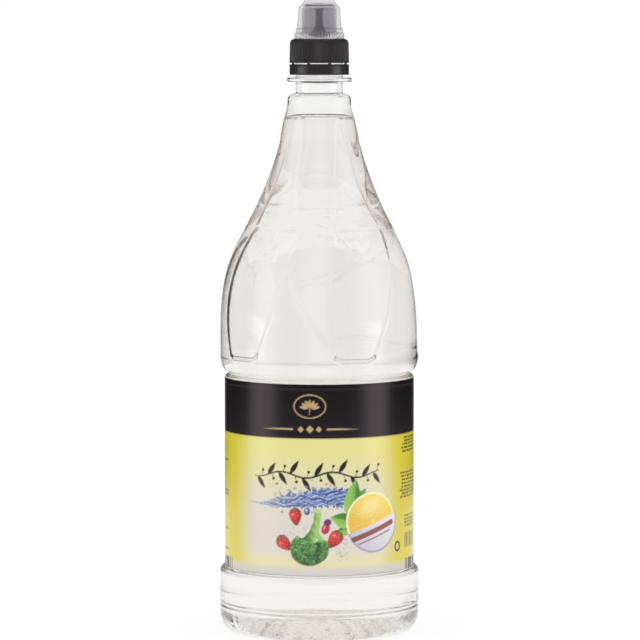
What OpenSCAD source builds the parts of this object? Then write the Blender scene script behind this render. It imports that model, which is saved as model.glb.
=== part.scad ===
// A clear blow-moulded bottle of vinegar with a wrap-round label, a ribbed
// screw cap with its tamper band, a push-pull spout and a clear dust cap.
// Millimetres, +Z up, origin at the centre of the base, front towards -Y.

/* [Body] */
// Outer radius of the base bead, the widest part of the body
base_r = 51; // [42:0.5:62]
// Height of the base bead, up to where the label panel starts
bead_h = 33.2; // [26:0.2:42]
// How far the shoulder at its widest stands inside the base bead
shoulder_inset = 0.5; // [0:0.1:1.5]
// Height of the shoulder's lower lip
lip_z = 133.2; // [120:0.2:160]
// Depth of the label's face below the base bead
label_sink = 2.6; // [1.6:0.1:4]
// Depth of the groove between label panel and shoulder, below the panel
groove_d = 1.75; // [1:0.05:3]
// Height of the groove's straight floor
groove_h = 1.6; // [1:0.1:3]
// Height of the rounding at the top of the base bead
bead_round = 2.8; // [1.5:0.1:4]
// Height of the rounding at the top of the label panel
ledge_h = 1.2; // [0.8:0.1:2]
// Wall thickness of the blown body
wall = 0.5; // [0.4:0.05:0.8]

/* [Base] */
// Width of the flat standing ring
ring_w = 3.9; // [2:0.1:6]
// Width of the rounded heel outside the standing ring
heel_w = 6.6; // [5:0.1:9]
// Height of the rounded heel above the standing ring
heel_h = 10; // [6:0.5:12]
// Rise of the push-up at the centre of the base
push_up = 11; // [6:0.5:16]
// Height of the fine groove round the base
fine_groove_z = 14; // [12.5:0.1:18]
// Depth of the fine groove
fine_groove_d = 0.3; // [0.1:0.05:0.4]
// Half the width of the fine groove
fine_groove_half = 1; // [0.5:0.1:1.2]

/* [Shoulder] */
// Height of the lip's rounding, up to the shoulder's full radius
lip_h = 7.3; // [5:0.1:9]
// Straight stretch from the lip's rounding to the start of the shoulder's curve
straight_h = 14.1; // [10:0.1:20]
// Height of the shoulder's curve
curve_h = 95.4; // [85:0.2:110]
// Outer radius where the shoulder's curve meets the neck's cone
cone_r = 20.1; // [18:0.1:23]
// Pull of the curve at its upper end, along the height
pull_top = 52.5; // [44:0.5:58]
// Slope of the curve at its upper end, radius per height
slope_top = 0.27; // [0.2:0.01:0.36]
// Pull of the curve at its lower end, along the height
pull_bottom = 48.6; // [40:0.5:54]
// Height of the cone from the shoulder's curve to the round top
cone_h = 21.4; // [16:0.2:27]
// Slope of the cone at its lower end, radius per height
cone_slope = 0.14; // [0.08:0.01:0.2]
// Pull of the cone's curve at its lower end, as a share of its height
cone_pull_low = 0.9; // [0.7:0.05:1]
// Pull of the cone's curve at its upper end, as a share of its height
cone_pull_high = 0.4; // [0.3:0.05:0.6]
// Outer radius at the top of the cone
crown_r = 16.2; // [15:0.1:17.5]
// Height of the rounding between the cone and the neck
crown_h = 3.4; // [2:0.1:5]

/* [Panels] */
// Number of sunken panels round the shoulder
panels = 5; // [4:1:6]
// Turn of the first panel's centre from the front, at its lower edge
panel_turn = 21.5; // [0:0.5:36]
// How far a panel leans round the bottle from its lower to its upper edge
panel_lean = 12.5; // [0:0.5:20]
// Half of a panel's angle at its lower edge
panel_low_half = 10.5; // [8:0.5:16]
// Half of a panel's angle at its upper edge
panel_high_half = 22.5; // [18:0.5:26]
// Height of a panel
panel_h = 65.8; // [50:0.2:70]
// Depth of a panel at its deepest
panel_d = 1.3; // [0.6:0.1:2]
// Width of the bevel round a panel
bevel = 2.2; // [1.6:0.1:3]

/* [Neck] */
// Outer radius of the neck
neck_r = 12; // [11.5:0.1:13]
// Wall thickness of the neck
neck_wall = 1.15; // [1:0.05:2]
// Height of the neck from the round top to the support ring
neck_h = 5.85; // [4:0.1:9]
// How far the support ring stands out of the neck
support_w = 4.4; // [3.5:0.1:6]
// Thickness of the support ring
support_t = 2.1; // [1.4:0.1:3]
// Bevel on the support ring's edges
support_bevel = 0.45; // [0.2:0.05:0.6]
// Height of the neck's finish above the support ring
finish_h = 18.2; // [15:0.2:22]

/* [Contents] */
// Space between the vinegar's level and the foot of the neck
ullage = 12.8; // [8:0.2:20]
// Clearance between the vinegar and the wall
fill_gap = 0.05; // [0.02:0.01:0.1]

/* [Label] */
// Thickness of the label's film
label_t = 0.2; // [0.1:0.05:0.3]
// Clearance between the label and the panel under it
label_gap = 0.05; // [0.02:0.01:0.1]
// Space between the label and the end of the panel, above and below
label_margin = 0.3; // [0.1:0.1:2]

/* [Cap] */
// Room for the thread between the neck and the cap's skirt
thread_room = 1.7; // [1.4:0.1:2.2]
// How much the skirt's radius shrinks up to its top
cap_taper = 0.25; // [0:0.05:0.5]
// Radius of the rounded edge at the cap's top
cap_edge = 2.4; // [1:0.1:3]
// Thickness of the cap's top
cap_top = 1.5; // [1:0.1:2.5]
// Thickness of the cap's skirt
cap_wall = 1.45; // [1:0.05:2]
// Height of the skirt
cap_skirt = 10.8; // [9:0.1:13]
// Number of grip ribs round the skirt
cap_ribs = 96; // [60:4:120]
// Depth of the grooves between the ribs
rib_d = 0.25; // [0.1:0.05:0.4]
// Height of the tamper band
band_h = 5.3; // [4:0.1:6.2]
// Height of the slit between the band and the skirt
slit_h = 0.7; // [0.4:0.1:1]
// Number of bridges across the slit
bridges = 8; // [6:1:16]
// Width of one bridge
bridge_w = 1; // [0.6:0.1:1.6]
// How far the bridges stand inside both faces of the skirt
bridge_inset = 0.3; // [0.1:0.05:0.5]

/* [Spout] */
// Clearance between the post's foot and the sleeve
post_gap = 0.6; // [0.3:0.1:1.5]
// Radius of the post's shaft
post_r = 1.85; // [1.5:0.05:2.4]
// Radius of the plug at the post's tip
plug_r = 2.7; // [2.5:0.1:3.2]
// Height of the plug
plug_h = 1.8; // [1:0.1:3]
// Height of the flare at the post's foot
flare_h = 10; // [7:0.5:12]
// Outer radius of the sleeve
sleeve_r = 8.8; // [7.4:0.1:9.2]
// Wall thickness of the sleeve
sleeve_wall = 1.2; // [0.8:0.1:1.4]
// Height of the sleeve above the cap
sleeve_h = 17.2; // [14:0.2:21]
// Radius of the rounded edge at the sleeve's top
sleeve_edge = 2; // [1:0.1:3]
// Radial clearance between the plug and the sleeve's hole
plug_gap = 0.1; // [0.05:0.05:0.3]

/* [Dust cap] */
// How far the dust cap's foot stands inside the cap's skirt
foot_inset = 2.45; // [2.4:0.05:3.2]
// Height of the foot
foot_h = 3; // [2:0.1:4]
// Step in from the foot to the band above it
collar_step = 0.7; // [0.4:0.1:1]
// Height of the band above the foot
collar_h = 2.2; // [1:0.1:3]
// Clearance between the sleeve and the dust cap's wall at its lower end
dust_gap = 1.6; // [1:0.1:1.8]
// Clearance between the sleeve and the dust cap's wall at its upper end
dust_top_gap = 0.9; // [0.6:0.1:1.2]
// How far the dust cap's wall ends below the sleeve's top
dust_drop = 1.6; // [1.4:0.1:2]
// Bevel on the upper edge of the dust cap's wall
dust_bevel = 0.2; // [0.1:0.05:0.4]
// Wall thickness of the dust cap
dust_wall = 0.9; // [0.7:0.05:1]
// Step in from the dust cap's wall to the knob
knob_step = 2.8; // [2:0.1:3.2]
// Height of the knob above the wall
knob_h = 8.2; // [6:0.2:10]
// Height of the curve from the wall into the knob
knob_curve = 4; // [3.6:0.2:5]
// Height of the knob's domed top
knob_round = 2.6; // [1.6:0.2:4]
// Number of ribs round the foot
foot_ribs = 54; // [36:2:72]
// Depth of the grooves between the foot's ribs
foot_rib_d = 0.3; // [0.1:0.05:0.4]

/* [Hidden] */
$fn = 96;
// points on each rounded stretch and on each long curve
ARC = 6;
CURVE = 10;
// how far a cut runs past a face
OVER = 1;
// plain wall between the lip's rounding and the panels, and above the panels
PANEL_LIP = 0.7;
PANEL_REST = 2;
// how far a panelled band stands back from the turned parts that it joins, so
// that no edge of it lies on an edge of theirs
BAND_INSET = 0.02;
// thickness of the vinegar's panelled band, half of it inside the core
FILL_BAND = 8;

shoulder_r = base_r - shoulder_inset;
ring_out_r = base_r - heel_w;
ring_in_r = ring_out_r - ring_w;
label_r = base_r - label_sink;
panel_wall_r = label_r - label_t - label_gap;
groove_r = panel_wall_r - groove_d;
bore_r = neck_r - neck_wall;
support_r = neck_r + support_w;
groove_z = lip_z - groove_h;
full_z = lip_z + lip_h;
curve_z = full_z + straight_h;
cone_z = curve_z + curve_h;
crown_z = cone_z + cone_h;
foot_z = crown_z + crown_h;
support_z = foot_z + neck_h;
finish_z = support_z + support_t + finish_h;
level_z = foot_z - ullage;

cap_z = finish_z - cap_skirt;
cap_top_z = finish_z + cap_top;
band_top_z = cap_z - slit_h;
sleeve_top_z = cap_top_z + sleeve_h;

cap_in_r = neck_r + thread_room;
cap_r = cap_in_r + cap_wall;
sleeve_in_r = sleeve_r - sleeve_wall;
post_foot_r = sleeve_in_r - post_gap;
foot_r = cap_r - foot_inset;
collar_r = foot_r - collar_step;
dust_r = sleeve_r + dust_gap + dust_wall;
dust_top_r = sleeve_r + dust_top_gap + dust_wall;
knob_r = dust_top_r - knob_step;

// height of the first and last ring of the panelled stretch, and of its bevels
panel_z = full_z + PANEL_LIP;
panel_top_z = panel_z + panel_h;
panel_start_z = full_z + wall;
panel_end_z = panel_top_z + PANEL_REST;
PANEL_ROWS = 9;

// a point on a cubic curve between the first and last of four points
function bezier(p, t) =
    pow(1 - t, 3) * p[0] + 3 * pow(1 - t, 2) * t * p[1]
    + 3 * (1 - t) * t * t * p[2] + pow(t, 3) * p[3];

// points on a quarter ellipse about a centre, from one angle to another
function quarter(centre, a, b, from, to) =
    [for (i = [0 : ARC]) let (t = from + (to - from) * i / ARC)
        centre + [a * cos(t), b * sin(t)]];

SHOULDER = [
    [cone_r, cone_z],
    [cone_r + slope_top * pull_top, cone_z - pull_top],
    [shoulder_r, curve_z + pull_bottom],
    [shoulder_r, curve_z]
];

// the shoulder curve's parameter at a height, found by halving
function curve_at(z, low = 0, high = 1, steps = 22) =
    let (mid = (low + high) / 2)
    steps == 0 ? mid
    : bezier(SHOULDER, mid)[1] > z ? curve_at(z, mid, high, steps - 1)
    : curve_at(z, low, mid, steps - 1);

function shoulder_radius(z) =
    z <= curve_z ? shoulder_r : bezier(SHOULDER, curve_at(z))[0];

// the body's wall from the centre of the base up to the panels, sunk by s
function lower_profile(s) = concat(
    [for (i = [0 : ARC]) let (x = i / ARC)
        [ring_in_r * x, s + push_up * (1 - x * x)]],
    quarter([ring_out_r, heel_h], base_r - ring_out_r - s, heel_h - s, -90, 0),
    [
        [base_r - s, fine_groove_z - fine_groove_half],
        [base_r - s - fine_groove_d, fine_groove_z],
        [base_r - s, fine_groove_z + fine_groove_half]
    ],
    quarter([panel_wall_r - s, bead_h - bead_round - s],
        base_r - panel_wall_r, bead_round, 0, 90),
    quarter([groove_r - s, groove_z - ledge_h - s],
        panel_wall_r - groove_r, ledge_h, 0, 90),
    quarter([groove_r - s, full_z + s], shoulder_r - groove_r, lip_h, -90, 0),
    [[shoulder_r - s, panel_start_z]]
);

// the wall above the panels, up to the neck's foot, sunk by s
function upper_profile(s) = concat(
    [for (i = [0 : CURVE]) let (z = panel_end_z + (cone_z - panel_end_z) * i / CURVE)
        [shoulder_radius(z) - s, z]],
    [for (i = [1 : ARC]) let (pull = cone_h * cone_pull_low)
        bezier([
            [cone_r - s, cone_z],
            [cone_r - s - cone_slope * pull, cone_z + pull],
            [crown_r - s, crown_z - cone_h * cone_pull_high],
            [crown_r - s, crown_z]
        ], i / ARC)],
    quarter([neck_r, crown_z], crown_r - neck_r - s, crown_h - s, 0, 90)
);

// A panel's share of its own height at z, held between its two edges
function panel_u(z) = min(1, max(0, (z - panel_z) / panel_h));
function panel_centre(z) = panel_turn + panel_lean * pow(panel_u(z), 1.5);
function panel_half(z) =
    panel_low_half + (panel_high_half - panel_low_half) * (1 - pow(1 - panel_u(z), 3));
function panel_depth(z) = panel_d * min(1, 0.35 + 1.3 * panel_u(z));

PITCH = 360 / panels;
// columns across a panel's floor and across the rib beside it
FLOOR_COLS = 5;
RIB_COLS = 4;
COLS = FLOOR_COLS + RIB_COLS + 3;

// heights of the rings: the bevels' edges and the rows between them
PANEL_Z = concat(
    [panel_start_z, panel_z],
    [for (i = [0 : PANEL_ROWS])
        panel_z + bevel + (panel_h - 2 * bevel) * i / PANEL_ROWS],
    [panel_top_z, panel_end_z]
);

// one ring of the panelled wall at height z, sunk by s
function panel_ring(z, s) =
    let (
        r = shoulder_radius(z),
        c = panel_centre(z),
        h = panel_half(z),
        e = bevel / r * 180 / PI,
        floor_here = z > panel_z + bevel / 2 && z < panel_top_z - bevel / 2,
        d = floor_here ? panel_depth(z) : 0
    )
    [for (k = [0 : panels - 1], i = [0 : COLS - 1])
        let (
            inside = i > 0 && i < FLOOR_COLS + 2,
            turn = i == 0 ? c - h
                : inside ? c - h + e + (2 * h - 2 * e) * (i - 1) / FLOOR_COLS
                : c + h + (PITCH - 2 * h) * (i - FLOOR_COLS - 2) / (RIB_COLS + 1),
            a = turn + k * PITCH - 90,
            rr = r - s - (inside ? d : 0)
        )
        [rr * cos(a), rr * sin(a), z]];

function panel_points(s) = [for (z = PANEL_Z) each panel_ring(z, s)];

RINGS = len(PANEL_Z);
ROUND = panels * COLS;

// triangles between the rings of one surface whose points start at b
function ring_faces(b, out) =
    [for (j = [0 : RINGS - 2], i = [0 : ROUND - 1])
        let (
            p = b + j * ROUND + i,
            q = b + j * ROUND + (i + 1) % ROUND,
            r = p + ROUND,
            s = q + ROUND
        )
        each out ? [[p, s, q], [p, r, s]] : [[p, q, s], [p, s, r]]];

// triangles of the flat ring between an outer and an inner ring of points
function rim_faces(outer, inner, up) =
    [for (i = [0 : ROUND - 1])
        let (
            p = outer + i,
            q = outer + (i + 1) % ROUND,
            r = inner + i,
            s = inner + (i + 1) % ROUND
        )
        each up ? [[p, s, q], [p, r, s]] : [[p, q, s], [p, s, r]]];

// the panelled stretch as a closed band, from sunk by s to sunk by deep
module panelled_band(s, deep) {
    inner = RINGS * ROUND;
    last = (RINGS - 1) * ROUND;
    polyhedron(
        concat(panel_points(s), panel_points(deep)),
        concat(
            ring_faces(0, true),
            ring_faces(inner, false),
            rim_faces(0, inner, false),
            rim_faces(last, inner + last, true)
        )
    );
}

module lower_wall() {
    inner = lower_profile(wall);
    rotate_extrude()
        polygon(concat(
            lower_profile(0),
            [for (i = [len(inner) - 1 : -1 : 0]) inner[i]]
        ));
}

module upper_wall() {
    inner = upper_profile(wall);
    rotate_extrude()
        polygon(concat(
            upper_profile(0),
            [
                [neck_r, support_z],
                [support_r - support_bevel, support_z],
                [support_r, support_z + support_bevel],
                [support_r, support_z + support_t - support_bevel],
                [support_r - support_bevel, support_z + support_t],
                [neck_r, support_z + support_t],
                [neck_r, finish_z],
                [bore_r, finish_z],
                [bore_r, foot_z - 2 * wall]
            ],
            [for (i = [len(inner) - 1 : -1 : 0]) inner[i]]
        ));
}

module bottle() color([0.9, 0.93, 0.93, 0.4]) {
    lower_wall();
    panelled_band(BAND_INSET, wall + BAND_INSET);
    upper_wall();
}

// A turned core up to the level, slimmer beside the panels, with a thick
// panelled band round it that reaches into the core.
module vinegar() color([0.93, 0.92, 0.8, 0.8]) {
    s = wall + fill_gap;
    intersection() {
        rotate_extrude()
            polygon(concat(
                lower_profile(s),
                [for (z = PANEL_Z) [shoulder_radius(z) - s - FILL_BAND / 2, z]],
                upper_profile(s),
                [[0, foot_z - s]]
            ));
        translate([0, 0, -OVER])
            cylinder(r = 2 * shoulder_r, h = level_z + OVER);
    }
    panelled_band(s + BAND_INSET, s + FILL_BAND);
}

module label() color([0.93, 0.88, 0.5])
    translate([0, 0, bead_h + label_margin])
        difference() {
            h = groove_z - ledge_h - label_margin - bead_h - label_margin;
            cylinder(r = label_r, h = h);
            translate([0, 0, -OVER])
                cylinder(r = label_r - label_t, h = h + 2 * OVER);
        }

// a star outline: a ring of ribs of depth d on radius r
module ribbed(r, count, d)
    polygon([for (i = [0 : count - 1]) each
        let (a = 360 * i / count, b = a + 180 / count)
        [r * [cos(a), sin(a)], (r - d) * [cos(b), sin(b)]]]);

module cap() color([0.13, 0.13, 0.14]) {
    skirt_top_r = cap_r - cap_taper;
    difference() {
        intersection() {
            translate([0, 0, cap_z])
                linear_extrude(cap_top_z - cap_z)
                    ribbed(cap_r, cap_ribs, rib_d);
            rotate_extrude()
                polygon(concat(
                    [[0, cap_z], [cap_r, cap_z]],
                    quarter([skirt_top_r - cap_edge, cap_top_z - cap_edge],
                        cap_edge, cap_edge, 0, 90),
                    [[0, cap_top_z]]
                ));
        }
        translate([0, 0, cap_z - OVER])
            cylinder(r = cap_in_r, h = cap_skirt + OVER);
    }
    post();
}

// the spout's post: a flared foot, a slim shaft and the plug at its tip
module post() {
    tip_z = sleeve_top_z;
    flare = [
        [post_foot_r, cap_top_z],
        [post_r + 1.4, cap_top_z + flare_h / 4],
        [post_r, cap_top_z + flare_h / 2],
        [post_r, cap_top_z + flare_h]
    ];
    rotate_extrude()
        polygon(concat(
            [[0, cap_top_z - cap_top / 2], [post_foot_r, cap_top_z - cap_top / 2]],
            [for (i = [0 : ARC]) bezier(flare, i / ARC)],
            [
                [post_r, tip_z - plug_h - (plug_r - post_r)],
                [plug_r, tip_z - plug_h],
                [plug_r, tip_z],
                [0, tip_z]
            ]
        ));
}

module tamper_band() color([0.11, 0.11, 0.12]) {
    difference() {
        translate([0, 0, band_top_z - band_h])
            cylinder(r = cap_r, h = band_h);
        translate([0, 0, band_top_z - band_h - OVER])
            cylinder(r = cap_in_r, h = band_h + 2 * OVER);
    }
    for (i = [0 : bridges - 1])
        rotate(360 * (i + 0.5) / bridges)
            translate([cap_in_r + bridge_inset, -bridge_w / 2, band_top_z - OVER])
                cube([cap_wall - 2 * bridge_inset, bridge_w, slit_h + OVER]);
}

module spout() color([0.62, 0.61, 0.65, 0.7]) {
    edge = sleeve_edge;
    in_edge = edge / 2;
    hole_r = plug_r + plug_gap;
    rotate_extrude()
        polygon(concat(
            [[sleeve_in_r, cap_top_z], [sleeve_r, cap_top_z]],
            quarter([sleeve_r - edge, sleeve_top_z - edge], edge, edge, 0, 90),
            [[hole_r, sleeve_top_z], [hole_r, sleeve_top_z - sleeve_wall]],
            quarter([sleeve_in_r - in_edge, sleeve_top_z - sleeve_wall - in_edge],
                in_edge, in_edge, 90, 0)
        ));
}

// the dust cap's outline above its foot, sunk by s
function dust_profile(s) =
    let (
        collar_z = cap_top_z + foot_h,
        wall_z = collar_z + collar_h,
        top_z = sleeve_top_z - dust_drop,
        knob_z = top_z + knob_h
    )
    concat(
        [
            [collar_r - s, collar_z - s],
            [collar_r - s, wall_z - s],
            [dust_r - s, wall_z - s / 2],
            [dust_top_r - s, top_z - s / 2]
        ],
        [for (i = [0 : ARC]) bezier([
            [dust_top_r - dust_bevel - s, top_z + dust_bevel - s / 2],
            [dust_top_r - dust_bevel - knob_curve / 4 - s, top_z + knob_curve * 0.4 - s / 2],
            [knob_r - s, top_z + knob_curve * 0.6 - s / 2],
            [knob_r - s, top_z + knob_curve - s / 2]
        ], i / ARC)],
        quarter([0, knob_z - knob_round], knob_r - s, knob_round - s, 0, 90)
    );

module dust_cap() color([0.93, 0.95, 0.96, 0.35]) {
    foot_top_z = cap_top_z + foot_h;
    difference() {
        union() {
            translate([0, 0, cap_top_z])
                linear_extrude(foot_h)
                    ribbed(foot_r, foot_ribs, foot_rib_d);
            rotate_extrude()
                polygon(concat([[0, foot_top_z - dust_wall]], dust_profile(0)));
        }
        rotate_extrude()
            polygon(concat([[0, cap_top_z - OVER], [collar_r - dust_wall, cap_top_z - OVER]],
                dust_profile(dust_wall)));
    }
}

bottle();
vinegar();
label();
cap();
tamper_band();
spout();
dust_cap();
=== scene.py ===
import bpy
import numpy as np
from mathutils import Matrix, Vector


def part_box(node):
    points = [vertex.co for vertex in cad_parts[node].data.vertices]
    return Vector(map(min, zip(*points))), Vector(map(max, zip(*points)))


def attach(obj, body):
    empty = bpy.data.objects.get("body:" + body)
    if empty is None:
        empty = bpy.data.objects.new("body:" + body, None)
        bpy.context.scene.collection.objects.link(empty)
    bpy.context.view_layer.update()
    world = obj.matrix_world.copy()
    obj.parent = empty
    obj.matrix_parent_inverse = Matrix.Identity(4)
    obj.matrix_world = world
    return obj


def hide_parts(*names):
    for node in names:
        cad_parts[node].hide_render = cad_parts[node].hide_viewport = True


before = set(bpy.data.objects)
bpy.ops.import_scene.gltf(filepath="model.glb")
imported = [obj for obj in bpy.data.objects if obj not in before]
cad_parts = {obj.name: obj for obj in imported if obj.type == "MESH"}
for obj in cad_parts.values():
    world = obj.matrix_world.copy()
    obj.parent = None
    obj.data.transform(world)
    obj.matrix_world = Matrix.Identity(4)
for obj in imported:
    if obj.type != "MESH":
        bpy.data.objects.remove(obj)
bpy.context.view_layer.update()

# ============================================================ the camera
# A long lens two metres in front of the label, which faces -Y. It stands level with the
# closure and looks slightly down.
lens_side = 0.00036
lens_back = 1.9943
lens_height = 0.3094
looking_down = 4.315
camera_data = bpy.data.cameras.new("camera")
camera_data.lens = 219.9
camera_data.sensor_width = 36.0
camera_data.clip_end = 100.0
camera = bpy.data.objects.new("camera", camera_data)
camera.location = (lens_side, -lens_back, lens_height)
camera.rotation_euler = (np.radians(90 - looking_down), 0, 0)
bpy.context.scene.collection.objects.link(camera)
bpy.context.scene.camera = camera

# ============================================================ the bottle
# A blow-moulded bottle of clear polyester: a bead round the foot, a sunken panel for the
# label, a groove, and a shoulder with five sunken leaning panels. The neck's finish with
# its support ring is injection-moulded first, and is thicker than the blown walls.
MM = 0.001
bottle_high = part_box("bottle")[1]
label_low, label_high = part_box("label")

bead_r = bottle_high.x / MM
shoulder_r = bead_r - 0.5
label_r = label_high.x / MM
label_z = label_low.z / MM
label_top_z = label_high.z / MM
panel_wall_r = label_r - 0.25
groove_d = 1.75
groove_r = panel_wall_r - groove_d
push_up_h = 11
heel_w = 6.6
heel_h = 10
ring_in_r = bead_r - 10.5
ring_out_r = bead_r - heel_w
cone_r = 20.1
crown_r = 16.2
neck_r = 12.0
bore_r = 10.85
support_r = 16.4
blown_wall = 0.5

panel_margin = 3.1
swell_h = 7.3
lip_z = label_top_z + panel_margin
full_z = lip_z + swell_h
curve_z = full_z + 14.1
cone_z = curve_z + 95.4
crown_z = cone_z + 21.4
foot_z = crown_z + 3.4
support_z = foot_z + 5.85
rim_z = bottle_high.z / MM

panel_z = full_z + 0.7
panel_h = 65.8
panel_top_z = panel_z + panel_h
panels = 5
pitch = 360 / panels
panel_d = 1.3
corner_r = 3.0
step_w = 1.6
bead_h = 0.2
rib_h = 0.28
rib_top_z = 264
leaf_h = 0.5
leaf_z = 193
heel_grip_h = 0.2
heel_grip_waves = 56
push_up_rib_h = 0.35
push_up_ribs = 20


def arc(centre, a, b, start, stop, count):
    """Points on an ellipse with half-axes a and b, from one angle to another in degrees."""
    t = np.radians(np.linspace(start, stop, count))
    return np.stack([centre[0] + a * np.cos(t), centre[1] + b * np.sin(t)], 1)


def bezier(points, count):
    """Points on the cubic curve whose ends and handles are the four points given."""
    t = np.linspace(0, 1, count)[:, None]
    p = np.array(points, float)
    return (
        (1 - t) ** 3 * p[0] + 3 * (1 - t) ** 2 * t * p[1]
        + 3 * (1 - t) * t**2 * p[2] + t**3 * p[3]
    )


def smooth(x):
    """0 below 0, 1 above 1, and an S-curve between."""
    x = np.clip(x, 0, 1)
    return x * x * (3 - 2 * x)


shoulder_curve = bezier(
    [
        (cone_r, cone_z),
        (cone_r + 0.27 * 52.5, cone_z - 52.5),
        (shoulder_r, curve_z + 48.6),
        (shoulder_r, curve_z),
    ],
    400,
)[::-1]


def spaced(outline, widest, sharpest):
    """Rows along a finely drawn outline: at most widest apart, turning by at most sharpest
    degrees each, and closer at the panels' two ends. The density is smoothed along the
    outline, so that the spacing changes gently."""
    step = np.hypot(*np.diff(outline, axis=0).T)
    outline = outline[np.concatenate([[True], step > 1e-6])]
    run = np.concatenate([[0], np.cumsum(np.hypot(*np.diff(outline, axis=0).T))])
    grain = 0.05
    fine = np.arange(0, run[-1] + grain, grain)
    r, z = np.interp(fine, run, outline[:, 0]), np.interp(fine, run, outline[:, 1])
    heading = np.unwrap(np.arctan2(np.gradient(z), np.gradient(r)))
    turning = np.abs(np.gradient(heading)) / grain
    low_end = np.exp(-(((z - panel_z - 0.6) / 1.6) ** 2))
    high_end = np.exp(-(((z - panel_top_z + 0.6) / 1.6) ** 2))
    ends = (low_end + 0.8 * high_end) * (r > 30)
    density = 1 / widest + turning / np.radians(sharpest) + 5.5 / widest * ends
    window = np.hanning(41)
    density = np.convolve(np.pad(density, 20, mode="edge"), window / window.sum(), mode="valid")
    count = np.cumsum(density) * grain
    picked = np.interp(np.linspace(0, count[-1], int(count[-1]) + 2), count, fine)
    return np.stack([np.interp(picked, fine, r), np.interp(picked, fine, z)], 1)


from_axis = np.linspace(0, 1, 60)
line_z = np.arange(12, 16.1, 0.1)
line_r = bead_r - 0.3 * np.exp(-(((line_z - 14) / 0.55) ** 2))
blown_outline = np.concatenate(
    [
        np.stack([ring_in_r * from_axis, push_up_h * (1 - from_axis * from_axis)], 1),
        arc((ring_out_r, heel_h), heel_w, heel_h, -90, 0, 60),
        np.stack([line_r, line_z], 1),
        arc((panel_wall_r, label_z - panel_margin), bead_r - panel_wall_r, 2.8, 0, 90, 40),
        arc((groove_r, lip_z - 2.8), groove_d, 1.2, 0, 90, 40),
        arc((groove_r, full_z), shoulder_r - groove_r, swell_h, -90, 0, 60),
        shoulder_curve,
        bezier(
            [(cone_r, cone_z), (17.4, cone_z + 19.3), (crown_r, crown_z - 8.6), (crown_r, crown_z)],
            60,
        ),
    ]
)


def joined(*stretches):
    """One profile from several, without points that lie on one another."""
    line = np.concatenate(stretches)
    step = np.hypot(*np.diff(line, axis=0).T)
    return line[np.concatenate([[True], step > 0.02])]


crown_outline = arc((neck_r, crown_z), 4.2, 3.4, 0, 90, 40)
finish_outline = joined(
    [(neck_r, foot_z + 0.6), (neck_r, support_z - 0.4), (neck_r + 0.4, support_z)],
    [(support_r - 0.4, support_z), (support_r - 0.1, support_z + 0.12)],
    [(support_r, support_z + 0.45), (support_r, support_z + 1.65)],
    [(support_r - 0.1, support_z + 1.98), (support_r - 0.4, support_z + 2.1)],
    [(neck_r + 0.4, support_z + 2.1), (neck_r, support_z + 2.5)],
    [(neck_r, rim_z - 0.4), (neck_r - 0.3, rim_z)],
)


def sunk(profile, depth):
    """The profile moved by depth along its own normals, into the wall."""
    along = np.gradient(profile, axis=0)
    along /= np.hypot(*along.T)[:, None]
    inner = profile - depth * np.stack([along[:, 1], -along[:, 0]], 1)
    inner[:, 0] = np.maximum(inner[:, 0], 0)
    return inner


def panel_edges(z):
    """Angles in degrees from the front, of the left and right edge of the first panel.
    Above the panel they are those of the two fine ribs that run on up to the neck."""
    u = np.clip((z - panel_z) / panel_h, 0, 1)
    centre = 21.5 + 12.5 * u**1.5
    half = 10.5 + 12 * (1 - (1 - u) ** 3)
    v = np.clip((z - panel_top_z) / 55, 0, 1)
    left = centre - half + 13.5 * v**1.5
    right = centre + half - 10.5 * (1 - (1 - v) ** 3)
    return left, right


def sprig(x, y):
    """Height from 0 to 1 of a small raised sprig: five leaves round a stalk."""
    height = np.exp(-((x / 0.5) ** 2)) * smooth((7 - abs(y + 1)) / 2) * 0.6
    for angle, reach, low in ((0, 5.5, 4), (48, 4.2, 1), (-48, 4.2, 1), (62, 3.8, -4), (-62, 3.8, -4)):
        c, s = np.cos(np.radians(angle)), np.sin(np.radians(angle))
        along = s * x + c * (y - low) - reach
        across = c * x - s * (y - low)
        dome = 1 - (along / 3.6) ** 2 - (across / 1.5) ** 2
        height = np.maximum(height, np.sqrt(np.clip(dome, 0, 1)))
    return height


step_cols = 5
floor_cols = 24
rib_cols = 18
spans = np.array([step_cols, floor_cols, step_cols, rib_cols])
span_of = np.repeat(np.arange(4), spans)
share = np.concatenate([np.arange(n) / n for n in spans])


def heel_relief(turn, r, z):
    """Height of the heel's moulding: a sunken band of fine waves that come and go round
    the bottle, and a sine of radial ribs under the base."""
    band = smooth((z - 2.5) / 2.5) * smooth((13 - z) / 2.5)
    patches = 0.5 + 0.5 * np.sin(3 * turn + 0.4) * np.cos(5 * turn)
    waves = np.sin(heel_grip_waves * turn + 2 * np.sin(z * 1.1)) * np.cos(z * 1.3)
    push_up = smooth((r - 9) / 6) * smooth((ring_in_r - 1 - r) / 5) * (z < 12)
    grip = heel_grip_h * band * patches * (waves - 1)
    return grip + push_up_rib_h * push_up * np.sin(push_up_ribs * turn)


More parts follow.
